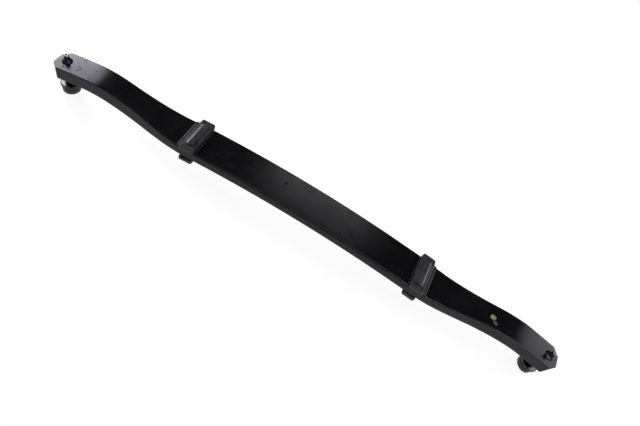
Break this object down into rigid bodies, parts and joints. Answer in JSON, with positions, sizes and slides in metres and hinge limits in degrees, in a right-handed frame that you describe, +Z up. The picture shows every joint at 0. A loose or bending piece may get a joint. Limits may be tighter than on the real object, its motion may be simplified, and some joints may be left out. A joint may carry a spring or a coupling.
{
  "type": "transverse leaf spring",
  "caption": "Transverse composite leaf spring with rubber centre mounts clamped above and below the leaf and a studded, swivelling rubber foot under each end.",
  "frame": {"origin": "midway between the two feet and across the leaf's width, on the surface that the feet stand on", "axes": "+X along the leaf towards its right end, +Y across its width, +Z up out of the leaf's top face"},
  "size_m": [1.244, 0.0956, 0.0995],
  "materials": {
    "leaf_paint": "gloss black paint over glass-fibre composite",
    "pad_rubber": "matt moulded rubber",
    "foot_rubber": "matt moulded rubber",
    "insert_steel": "plain steel",
    "stud_zinc": "bright zinc plate",
    "plate_zinc": "bright zinc plate",
    "clip_black": "black phosphated steel"
  },
  "bodies": {
    "mid_span": {"leaf_centre": "leaf_paint", "left_upper_pad": "pad_rubber", "right_upper_pad": "pad_rubber", "left_lower_pad": "pad_rubber", "right_lower_pad": "pad_rubber", "left_upper_insert": "insert_steel", "right_upper_insert": "insert_steel", "left_lower_insert": "insert_steel", "right_lower_insert": "insert_steel"},
    "left_arm": {"left_leaf_arm": "leaf_paint", "left_stud": "stud_zinc", "left_sleeve": "insert_steel", "left_clip": "clip_black", "left_spacer": "clip_black"},
    "left_swivel_foot": {"left_foot": "foot_rubber", "left_foot_cup": "insert_steel", "left_foot_plate": "plate_zinc"},
    "right_arm": {"right_leaf_arm": "leaf_paint", "right_stud": "stud_zinc", "right_sleeve": "insert_steel", "right_clip": "clip_black", "right_spacer": "clip_black"},
    "right_swivel_foot": {"right_foot": "foot_rubber", "right_foot_cup": "insert_steel", "right_foot_plate": "plate_zinc"}
  },
  "joints": [
    {"name": "left_arm_flex", "type": "hinge", "parent": "mid_span", "child": "left_arm", "pos_m": [-0.288, 0, 0.07259], "axis": [0, 1, 0], "range_deg": [-3, 13], "stiffness_Nm_per_rad": 7500},
    {"name": "left_foot_tilt", "type": "hinge", "parent": "left_arm", "child": "left_swivel_foot", "pos_m": [-0.5853, 0, 0.02027], "axis": [0, 1, 0], "range_deg": [-8, 8], "stiffness_Nm_per_rad": 40},
    {"name": "right_arm_flex", "type": "hinge", "parent": "mid_span", "child": "right_arm", "pos_m": [0.288, 0, 0.07259], "axis": [0, -1, 0], "range_deg": [-3, 13], "stiffness_Nm_per_rad": 7500},
    {"name": "right_foot_tilt", "type": "hinge", "parent": "right_arm", "child": "right_swivel_foot", "pos_m": [0.5853, 0, 0.02027], "axis": [0, -1, 0], "range_deg": [-8, 8], "stiffness_Nm_per_rad": 40}
  ]
}
